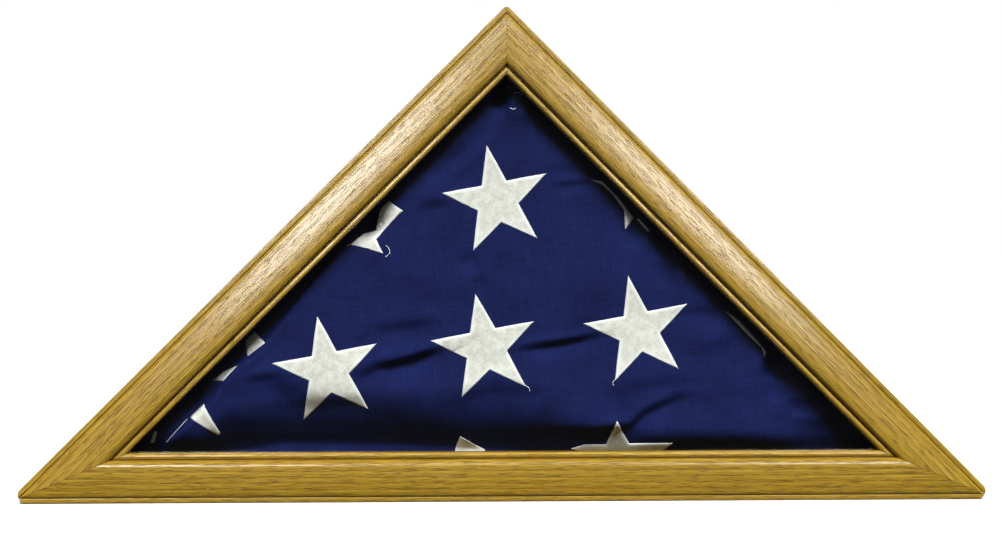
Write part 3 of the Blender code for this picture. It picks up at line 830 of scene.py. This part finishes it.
def fine_patch(outline, spacing):
    """A flat outline in even triangles, no longer than a spacing where the outline is at its widest."""
    mesh = bmesh.new()
    face = outline_face(mesh, outline)
    if len(outline) == STAR_POINTS:
        bmesh.ops.poke(mesh, faces=[face], center_mode="MEAN")
    else:
        bmesh.ops.triangulate(mesh, faces=[face], ngon_method="EAR_CLIP")
    longest = max(edge.calc_length() for edge in mesh.edges)
    bmesh.ops.subdivide_edges(mesh, edges=mesh.edges[:], cuts=int(longest / spacing), use_grid_fill=True)
    lowest = Vector((0, 0, LOWEST_STITCH))
    bmesh.ops.bisect_plane(mesh, geom=mesh.verts[:] + mesh.edges[:] + mesh.faces[:], plane_co=lowest,
                           plane_no=(0, 0, -1), clear_outer=True)
    return mesh


def embroidery(name, outline, cloth, finish, from_front=True):
    """Dense stitching over an outline: it stands proud of the cloth and rounds off at its edge."""
    mesh = fine_patch(outline, STITCH_MESH)
    closed = list(outline) + [outline[0]]
    x = np.array([vert.co.x for vert in mesh.verts])
    z = np.array([vert.co.z for vert in mesh.verts])
    from_edge = route_distance(x, z, closed)[0]
    puff = np.sqrt(1 - (1 - np.clip(from_edge / 1.6, 0, 1)) ** 2)
    way = 1 if from_front else -1
    middle = Vector((sum(p[0] for p in outline), sum(p[1] for p in outline))) / len(outline)
    tone = mesh.verts.layers.float.new("from_edge")
    stitch = mesh.loops.layers.uv.new("stitch")
    turn = Matrix.Rotation(-FIELD_TURN, 2)
    for face in mesh.faces:
        for loop in face.loops:
            flat = Vector((loop.vert.co.x, loop.vert.co.z)) - middle
            loop[stitch].uv = turn @ flat * MM
    for number, vert in enumerate(mesh.verts):
        origin = Vector((vert.co.x * MM, -way, vert.co.z * MM))
        place, normal, _, _ = cloth.ray_cast(origin, Vector((0, way, 0)))
        if place is None:
            place, normal = Vector((origin.x, FLAG_MIDDLE, origin.z)), Vector((0, -way, 0))
        vert[tone] = from_edge[number]
        vert.co = place + normal * (0.06 + 0.55 * puff[number]) * MM
    item = add_piece("star_" + name, mesh, finish, "flag", None, sharp=180, even=False)
    wall = item.modifiers.new("thread depth", "SOLIDIFY")
    wall.thickness = 0.35 * MM
    wall.offset = -1
    return item


def loose_thread(name, route, cloth, finish):
    """One end of thread lying on the cloth."""
    curve, spline = wire_curve(THREAD_RADIUS, 2, "BEZIER")
    curve.use_fill_caps = True
    spline.bezier_points.add(len(route) - 1)
    for point, (x, z) in zip(spline.bezier_points, route):
        place, normal, _, _ = cloth.ray_cast(Vector((x * MM, -1, z * MM)), Vector((0, 1, 0)))
        point.co = place + normal * THREAD_LIFT
        point.handle_left_type = point.handle_right_type = "AUTO"
    add_piece("thread_" + name, wire_mesh(curve), finish, "flag", None, even=False)


def make_stars(flag, finish):
    """Every star and loose thread, laid on the cloth where it now is."""
    bpy.context.view_layer.update()
    cloth = BVHTree.FromObject(flag, bpy.context.evaluated_depsgraph_get())
    for seed, (name, (centre, height)) in enumerate(FRONT_STARS.items()):
        embroidery(name, star_outline(centre, height, seed), cloth, finish)
    for seed, (name, (centre, height)) in enumerate(BACK_STARS.items(), len(FRONT_STARS)):
        embroidery(name, star_outline(centre, height, seed), cloth, finish, from_front=False)
    for name, outline in CUT_STARS.items():
        embroidery(name, outline, cloth, finish)
    for name, route in THREADS.items():
        loose_thread(name, route, cloth, finish)


# ---------------------------------------------------------------- materials


def linear(colour):
    """An sRGB hex colour as linear RGBA."""
    channels = [int(colour[i:i + 2], 16) / 255 for i in (1, 3, 5)]
    return (*[c / 12.92 if c <= 0.04045 else ((c + 0.055) / 1.055) ** 2.4 for c in channels], 1)


def new_material(name):
    """A material with its node tree, its surface shader and its output."""
    made = bpy.data.materials.new(name)
    made.use_nodes = True
    return made, made.node_tree, made.node_tree.nodes["Principled BSDF"]


def feed(tree, node, inputs):
    """Set a node's inputs. Each takes a value, another node's output, or a node for its first output."""
    for name, value in inputs.items():
        if isinstance(value, bpy.types.Node):
            value = value.outputs[0]
        if isinstance(value, bpy.types.NodeSocket):
            tree.links.new(value, node.inputs[name])
        else:
            node.inputs[name].default_value = value


def add(tree, kind, inputs=None, **settings):
    """Add a shader node of a kind, with its own settings and its inputs."""
    made = tree.nodes.new("ShaderNode" + kind)
    for name, value in settings.items():
        setattr(made, name, value)
    feed(tree, made, inputs or {})
    return made


MIX_A, MIX_B, MIX_RESULT = 6, 7, 2  # colour sockets of a Mix node


def lacquered_oak(name, side):
    """Oak, planed, oil-stained golden and finished in satin lacquer.

    Growth rings run along each rail as soft bands. Their porous early wood shows as short dark
    ticks, 5 to 10 mm long, that the lacquer doesn't fill, so highlights break up along the grain.
    """
    made, tree, shader = new_material("lacquered_oak_" + name)
    place = add(tree, "TexCoord").outputs["Object"]
    along = add(tree, "Mapping", {
        "Vector": place, "Location": side.middle,
        "Rotation": (0, math.radians(side.turn), 0), "Scale": (MM, MM, MM)}, vector_type="TEXTURE")
    seed = list(SIDES).index(name)
    drift = add(tree, "Mapping", {
        "Vector": along, "Location": (seed * 37.0, 45, 38 + 11 * seed), "Scale": (0.035, 1, 1)})
    # rings 4 mm apart about a pith some 40 mm below the face
    ring_spacing = 4.2
    rings = add(tree, "TexWave", {
        "Vector": drift, "Scale": 2 * math.pi / (20 * ring_spacing), "Distortion": 5.0,
        "Detail": 3.0, "Detail Scale": 0.55, "Detail Roughness": 0.55},
        wave_type="RINGS", rings_direction="X", wave_profile="SAW")
    fibres = add(tree, "Mapping", {"Vector": along, "Scale": (0.022, 1.2, 1.2)})
    streaks = add(tree, "TexNoise", {
        "Vector": fibres, "Scale": 1.3, "Detail": 5.0, "Roughness": 0.65})
    # pores 0.6 mm wide and about 8 mm long, drawn twice as wide as real ones so that they show
    pore_space = add(tree, "Mapping", {
        "Vector": along, "Location": (seed * 11.3, 0, 0), "Scale": (0.1, 2.2, 2.2)})
    pore_noise = add(tree, "TexNoise", {
        "Vector": pore_space, "Scale": 1.0, "Detail": 1.0, "Roughness": 0.4})
    early = add(tree, "MapRange", {
        "Value": rings.outputs["Fac"], "From Min": 0.1, "From Max": 0.65, "To Min": 0.53, "To Max": 0.61})
    over = add(tree, "Math", {0: pore_noise, 1: early},
               operation="SUBTRACT")
    pores = add(tree, "MapRange", {
        "Value": over, "From Max": 0.05})
    ring_tone = add(tree, "Mix", {
        0: rings.outputs["Fac"], MIX_A: linear("#A08022"), MIX_B: linear("#CEAC3C")}, data_type="RGBA")
    streak_amount = add(tree, "MapRange", {
        "Value": streaks, "From Min": 0.3, "From Max": 0.7, "To Max": 0.8})
    streak_tone = add(tree, "Mix", {
        0: streak_amount, MIX_A: linear("#785C12"), MIX_B: ring_tone.outputs[MIX_RESULT]},
        data_type="RGBA")
    broad = add(tree, "Mapping", {"Vector": along, "Scale": (0.012, 0.05, 0.05)})
    shade = add(tree, "TexNoise", {"Vector": broad, "Scale": 1.0, "Detail": 2.0})
    shade_amount = add(tree, "MapRange", {
        "Value": shade, "From Min": 0.35, "From Max": 0.65, "To Max": 0.35})
    warm = add(tree, "Mix", {
        0: shade_amount, MIX_A: streak_tone.outputs[MIX_RESULT], MIX_B: linear("#A67F20")},
        data_type="RGBA")
    pore_amount = add(tree, "Math", {0: pores, 1: 0.55}, operation="MULTIPLY")
    stained = add(tree, "Mix", {
        0: pore_amount, MIX_A: warm.outputs[MIX_RESULT], MIX_B: linear("#4A3410")},
        data_type="RGBA")
    roughness = add(tree, "MapRange", {
        "Value": streaks, "From Min": 0.3, "From Max": 0.7, "To Min": 0.5, "To Max": 0.38})
    relief = add(tree, "Math", {0: streaks, 1: 0.25}, operation="MULTIPLY")
    height = add(tree, "Math", {0: relief, 1: pores}, operation="SUBTRACT")
    grain = add(tree, "Bump", {
        "Height": height, "Strength": 0.9, "Distance": 0.12 * MM})
    film = add(tree, "Bump", {
        "Height": height, "Strength": 0.8, "Distance": 0.2 * MM})
    feed(tree, shader, {
        "Base Color": stained.outputs[MIX_RESULT], "Roughness": roughness, "IOR": 1.5,
        "Normal": grain, "Coat Weight": 0.8, "Coat Roughness": 0.2, "Coat IOR": 1.5,
        "Specular IOR Level": 0.12,
        "Coat Normal": film})
    return made


def float_glass():
    """Float glass, polished by its own surface: clear, faintly green, with a sharp weak reflection."""
    made, tree, shader = new_material("float_glass")
    tree.nodes.remove(shader)
    through = add(tree, "BsdfTransparent", {"Color": linear("#FEFFFE")})
    place = add(tree, "TexCoord").outputs["Object"]
    ripple = add(tree, "TexNoise", {"Vector": place, "Scale": 14.0})
    wave = add(tree, "Bump", {"Height": ripple, "Strength": 0.05, "Distance": 0.2 * MM})
    gloss = add(tree, "BsdfGlossy", {"Roughness": 0.02, "Normal": wave})
    # 4% head on, rising towards the edge of view, and the same from both sides of each surface
    facing = add(tree, "LayerWeight", {"Blend": 0.5})
    grazing = add(tree, "Math", {0: facing.outputs["Facing"], 1: 5.0}, operation="POWER")
    mirrored = add(tree, "Math", {0: grazing, 1: 0.96, 2: 0.04}, operation="MULTIPLY_ADD")
    surface = add(tree, "MixShader", {
        0: mirrored, 1: through, 2: gloss})
    tree.links.new(surface.outputs[0], tree.nodes["Material Output"].inputs["Surface"])
    return made


def woven_cotton():
    """Navy cotton bunting, plain woven and pressed: matt, with a slight sheen along the folds."""
    made, tree, shader = new_material("woven_navy_cotton")
    weave = add(tree, "UVMap", uv_map="weave")
    thread = 0.8  # thread spacing in mm, drawn at twice the real one so that it can show
    millimetres = add(tree, "Mapping", {"Vector": weave, "Scale": (1000, 1000, 1000)})
    rows = []
    for direction in ("X", "Y"):
        rows.append(add(tree, "TexWave", {
            "Vector": millimetres, "Scale": 2 * math.pi / (20 * 2 * thread),
            "Distortion": 0.6, "Detail": 1.0, "Detail Scale": 2.0}, bands_direction=direction))
    over_under = add(tree, "Math", {0: rows[0].outputs["Fac"], 1: rows[1].outputs["Fac"]},
                     operation="MULTIPLY")
    slubs = []
    for scale in ((0.06, 1.1, 1), (1.1, 0.06, 1)):
        stretched = add(tree, "Mapping", {"Vector": millimetres, "Scale": scale})
        slubs.append(add(tree, "TexNoise", {"Vector": stretched, "Scale": 1.0,
                                                     "Detail": 2.0}))
    slub = add(tree, "Math", {0: slubs[0], 1: slubs[1]})
    cloudy = add(tree, "TexNoise", {"Vector": millimetres, "Scale": 0.03, "Detail": 3.0})
    amount = add(tree, "Math", {0: slub, 1: cloudy})
    toned = add(tree, "MapRange", {
        "Value": amount, "From Min": 1.15, "From Max": 1.85})
    dyed = add(tree, "Mix", {
        0: toned, MIX_A: linear("#10163F"), MIX_B: linear("#182257")}, data_type="RGBA")
    knit = add(tree, "Math", {0: over_under, 1: slub})
    surface = add(tree, "Bump", {"Height": knit, "Strength": 0.35, "Distance": 0.12 * MM})
    feed(tree, shader, {
        "Base Color": dyed.outputs[MIX_RESULT], "Roughness": 0.8, "Specular IOR Level": 0.08,
        "Normal": surface, "Sheen Weight": 0.04, "Sheen Roughness": 0.4,
        "Sheen Tint": linear("#5A68B8")})
    return made


def stitched_thread():
    """Off-white polyester thread, machine embroidered: close short stitches, brighter at the edge."""
    made, tree, shader = new_material("embroidered_thread")
    stitch = add(tree, "UVMap", uv_map="stitch")
    millimetres = add(tree, "Mapping", {"Vector": stitch, "Scale": (1000, 1000, 1000)})
    lines = add(tree, "Mapping", {"Vector": millimetres, "Scale": (0.45, 2.4, 1),
                                            "Rotation": (0, 0, math.radians(62))})
    stitches = add(tree, "TexNoise", {"Vector": lines, "Scale": 1.0, "Detail": 2.0,
                                                "Roughness": 0.6, "Distortion": 0.5})
    patches = add(tree, "TexNoise", {"Vector": millimetres, "Scale": 0.16, "Detail": 2.0})
    edge = add(tree, "Attribute", attribute_name="from_edge")
    inside = add(tree, "MapRange", {
        "Value": edge.outputs["Fac"], "From Min": 0.9, "From Max": 2.6})
    speckle = add(tree, "Math", {0: stitches, 1: patches})
    mottled = add(tree, "MapRange", {
        "Value": speckle, "From Min": 0.75, "From Max": 1.25})
    fill = add(tree, "Mix", {
        0: mottled, MIX_A: linear("#BEBCB2"), MIX_B: linear("#E2E1DB")}, data_type="RGBA")
    colour = add(tree, "Mix", {
        0: inside, MIX_A: linear("#E8E8E6"), MIX_B: fill.outputs[MIX_RESULT]}, data_type="RGBA")
    raised = add(tree, "Bump", {"Height": stitches, "Strength": 0.7,
                                          "Distance": 0.25 * MM})
    feed(tree, shader, {
        "Base Color": colour.outputs[MIX_RESULT], "Roughness": 0.6, "Specular IOR Level": 0.3,
        "Normal": raised, "Sheen Weight": 0.15, "Sheen Roughness": 0.5})
    return made


def flocked_felt():
    """Black wool felt glued on board: no shine, tiny fibre mottling and a little lint."""
    made, tree, shader = new_material("black_wool_felt")
    place = add(tree, "TexCoord").outputs["Object"]
    fibres = add(tree, "TexNoise", {
        "Vector": place, "Scale": 900.0, "Detail": 4.0, "Roughness": 0.7,
        "Distortion": 1.2})
    cloudy = add(tree, "TexNoise", {"Vector": place, "Scale": 35.0, "Detail": 3.0})
    tone = add(tree, "Math", {0: fibres, 1: cloudy},
               operation="MULTIPLY")
    colour = add(tree, "Mix", {
        0: tone, MIX_A: linear("#0B0B0D"), MIX_B: linear("#2B2B30")}, data_type="RGBA")
    pile = add(tree, "Bump", {"Height": fibres, "Strength": 0.8, "Distance": 0.3 * MM})
    feed(tree, shader, {
        "Base Color": colour.outputs[MIX_RESULT], "Roughness": 0.95, "Normal": pile,
        "Sheen Weight": 0.3, "Sheen Roughness": 0.6})
    return made


def pressed_hardboard():
    """Tempered hardboard, hot pressed: dark brown, smooth, with matted fibres and oil blotches."""
    made, tree, shader = new_material("pressed_hardboard")
    place = add(tree, "TexCoord").outputs["Object"]
    fibres = add(tree, "TexNoise", {
        "Vector": place, "Scale": 420.0, "Detail": 5.0, "Roughness": 0.75,
        "Distortion": 2.0})
    blotches = add(tree, "TexNoise", {"Vector": place, "Scale": 22.0, "Detail": 4.0})
    flecks = add(tree, "TexVoronoi", {"Vector": place, "Scale": 260.0})
    base = add(tree, "Mix", {
        0: blotches, MIX_A: linear("#4E3118"), MIX_B: linear("#6E4A29")}, data_type="RGBA")
    fibre_amount = add(tree, "MapRange", {
        "Value": fibres, "From Min": 0.4, "From Max": 0.7, "To Max": 0.6})
    matted = add(tree, "Mix", {
        0: fibre_amount, MIX_A: base.outputs[MIX_RESULT], MIX_B: linear("#8A6740")},
        data_type="RGBA")
    fleck_amount = add(tree, "MapRange", {
        "Value": flecks.outputs["Distance"], "From Min": 0.12, "From Max": 0.3, "To Min": 0.5,
        "To Max": 0.0})
    colour = add(tree, "Mix", {
        0: fleck_amount, MIX_A: matted.outputs[MIX_RESULT], MIX_B: linear("#33200F")},
        data_type="RGBA")
    face = add(tree, "Bump", {"Height": fibres, "Strength": 0.4, "Distance": 0.1 * MM})
    roughness = add(tree, "MapRange", {
        "Value": blotches, "From Min": 0.3, "From Max": 0.7, "To Min": 0.42, "To Max": 0.6})
    feed(tree, shader, {
        "Base Color": colour.outputs[MIX_RESULT], "Roughness": roughness,
        "Normal": face})
    return made


def plated_steel(name, light, dark, low, high):
    """Stamped steel, plated and tumbled: bright, with fine wear scratches and faint clouding."""
    made, tree, shader = new_material(name)
    place = add(tree, "TexCoord").outputs["Object"]
    brushed = add(tree, "Mapping", {"Vector": place, "Scale": (200, 3200, 3200)})
    scratches = add(tree, "TexNoise", {"Vector": brushed, "Scale": 1.0, "Detail": 3.0})
    clouds = add(tree, "TexNoise", {"Vector": place, "Scale": 160.0, "Detail": 3.0})
    colour = add(tree, "Mix", {
        0: clouds, MIX_A: linear(dark), MIX_B: linear(light)}, data_type="RGBA")
    roughness = add(tree, "MapRange", {
        "Value": scratches, "From Min": 0.3, "From Max": 0.7, "To Min": low, "To Max": high})
    surface = add(tree, "Bump", {
        "Height": scratches, "Strength": 0.15, "Distance": 0.02 * MM})
    feed(tree, shader, {
        "Base Color": colour.outputs[MIX_RESULT], "Metallic": 1.0, "Roughness": roughness,
        "Normal": surface})
    return made


def moulded_rubber():
    """Black rubber, moulded: matt, faintly bloomed grey with a fine pitted skin."""
    made, tree, shader = new_material("moulded_rubber")
    place = add(tree, "TexCoord").outputs["Object"]
    pits = add(tree, "TexNoise", {"Vector": place, "Scale": 2600.0, "Detail": 2.0})
    bloom = add(tree, "TexNoise", {"Vector": place, "Scale": 250.0, "Detail": 3.0})
    colour = add(tree, "Mix", {
        0: bloom, MIX_A: linear("#1B1B1C"), MIX_B: linear("#343436")}, data_type="RGBA")
    skin = add(tree, "Bump", {"Height": pits, "Strength": 0.4, "Distance": 0.05 * MM})
    feed(tree, shader, {
        "Base Color": colour.outputs[MIX_RESULT], "Roughness": 0.72, "Normal": skin})
    return made


def keep_node(node, finish):
    """Give a CAD node that stays in view its finished material."""
    data = NODES[node].data
    data.materials.clear()
    data.materials.append(finish)


# ---------------------------------------------------------------- stage

FLOOR_RADIUS = 30
FLOOR_DROP = 0.2 * MM  # keeps the floor and the base from fighting for one plane
SOFTBOX_TARGET = (0, 0, 0.2)
LENS = 85.4
CAMERA_DISTANCE = 1.584  # from the front of the moulding
CAMERA_SIDE = -0.087
CAMERA_HEIGHT = 0.1561
CAMERA_TURN = 3  # degrees


def matt_backdrop():
    """White paper floor: matt, with the faintest mottling of its pulp."""
    made, tree, shader = new_material("white_paper")
    place = add(tree, "TexCoord").outputs["Object"]
    pulp = add(tree, "TexNoise", {"Vector": place, "Scale": 3.0, "Detail": 2.0})
    colour = add(tree, "Mix", {
        0: pulp, MIX_A: linear("#F4F4F3"), MIX_B: linear("#F8F8F8")}, data_type="RGBA")
    feed(tree, shader, {"Base Color": colour.outputs[MIX_RESULT], "Roughness": 0.9,
                              "Specular IOR Level": 0.1})
    return made


def make_floor():
    """A broad disc just under the base, hidden from reflections and from bounced light."""
    mesh = bmesh.new()
    bmesh.ops.create_circle(mesh, cap_ends=True, segments=96, radius=FLOOR_RADIUS)
    bmesh.ops.translate(mesh, verts=mesh.verts, vec=(0, 0, -FLOOR_DROP))
    data = written(mesh, "floor")
    data.materials.append(matt_backdrop())
    floor = in_scene("floor", data)
    floor.visible_glossy = False
    floor.visible_diffuse = False


def aim(item, place, at):
    """Stand a light at a place, shining at a point."""
    item.location = place
    item.rotation_euler = (Vector(at) - Vector(place)).to_track_quat("-Z", "Y").to_euler()


def make_sun(name, place, strength, softness, mirrored=True):
    """A soft distant light that shines from a place towards the object, seen in gloss or not."""
    light = bpy.data.lights.new(name, "SUN")
    light.energy = strength
    light.angle = math.radians(softness)
    item = in_scene(name, light)
    item.visible_glossy = mirrored
    aim(item, place, (0, 0, 0))


def make_softbox(name, place, size, power, roll=0):
    """A rectangular light that shows only as a highlight, turned by a roll about its own axis."""
    light = bpy.data.lights.new(name, "AREA")
    light.shape = "RECTANGLE"
    light.size, light.size_y = size
    light.energy = power
    item = in_scene(name, light)
    item.visible_camera = False
    item.visible_diffuse = False
    aim(item, place, SOFTBOX_TARGET)
    item.rotation_euler.rotate_axis("Z", math.radians(roll))


def make_surround():
    """White to the eye, a dim fill to matt surfaces, and bright only behind for the steel to mirror."""
    world = bpy.data.worlds.new("studio")
    bpy.context.scene.world = world
    world.use_nodes = True
    tree = world.node_tree
    tree.nodes.clear()
    place = add(tree, "TexCoord")
    axes = add(tree, "SeparateXYZ", {0: place.outputs["Generated"]})
    behind = add(tree, "MapRange", {
        "Value": axes.outputs["Y"], "From Min": -0.1, "From Max": 0.7, "To Min": 0.02, "To Max": 0.75})
    ray = add(tree, "LightPath")
    fill = add(tree, "Mix", {
        0: ray.outputs["Is Glossy Ray"], 2: 0.015, 3: behind}, data_type="FLOAT")
    level = add(tree, "Mix", {0: ray.outputs["Is Camera Ray"], 2: fill, 3: 1.0},
                data_type="FLOAT")
    light = add(tree, "Background", {"Color": (1, 1, 1, 1), "Strength": level})
    output = add(tree, "OutputWorld")
    tree.links.new(light.outputs[0], output.inputs["Surface"])


def make_studio():
    """The floor, the surround, soft suns for the matt surfaces and softboxes for the lacquer.

    Each strip light lies along the leg it brightens, and so far out that the glass doesn't mirror it.
    """
    make_floor()
    make_surround()
    make_sun("key", (0.18, -1.6, 1.6), strength=5.9, softness=22, mirrored=False)
    make_sun("rear fill", (-0.8, 1.6, 1.2), strength=1.1, softness=60)
    make_sun("front fill", (-0.2, -1.6, 0.15), strength=0.08, softness=60, mirrored=False)
    make_softbox("overhead softbox", (0.09, -1.45, 1.05), size=(1.1, 0.4), power=10)
    make_softbox("left strip light", (-0.42, -1.5, 0.544), size=(0.56, 0.36), power=15.5, roll=-45)
    make_softbox("right strip light", (0.6, -1.5, 0.509), size=(0.5, 0.34), power=11, roll=45)
    bpy.context.scene.view_settings.view_transform = "Standard"


def make_camera():
    """A long lens, level, a little left of the middle and turned slightly to the right."""
    data = bpy.data.cameras.new("camera")
    data.sensor_width = 36
    data.lens = LENS
    camera = in_scene("camera", data)
    camera.location = (CAMERA_SIDE, MOULDING_FRONT - CAMERA_DISTANCE, CAMERA_HEIGHT)
    camera.rotation_euler = (math.pi / 2, 0, math.radians(-CAMERA_TURN))
    bpy.context.scene.camera = camera


# ---------------------------------------------------------------- the whole case

make_camera()
make_frame()
NICKEL = plated_steel("nickel_plated_steel", "#C9C6BE", "#A9A59C", 0.16, 0.3)
make_screws(NICKEL)
make_turn_buttons(NICKEL)
make_hangers(NICKEL)
make_bumpers(moulded_rubber())
make_back(pressed_hardboard(), flocked_felt())
make_stars(make_flag(woven_cotton()), stitched_thread())
keep_node("glass_pane", float_glass())
ZINC = plated_steel("zinc_plated_steel", "#B4B6B8", "#8F9296", 0.3, 0.45)
for node in NODES:
    if node.startswith("glazing_point"):
        keep_node(node, ZINC)
    if node.startswith("mitre_key"):
        keep_node(node, bpy.data.materials["lacquered_oak_base"])
make_studio()
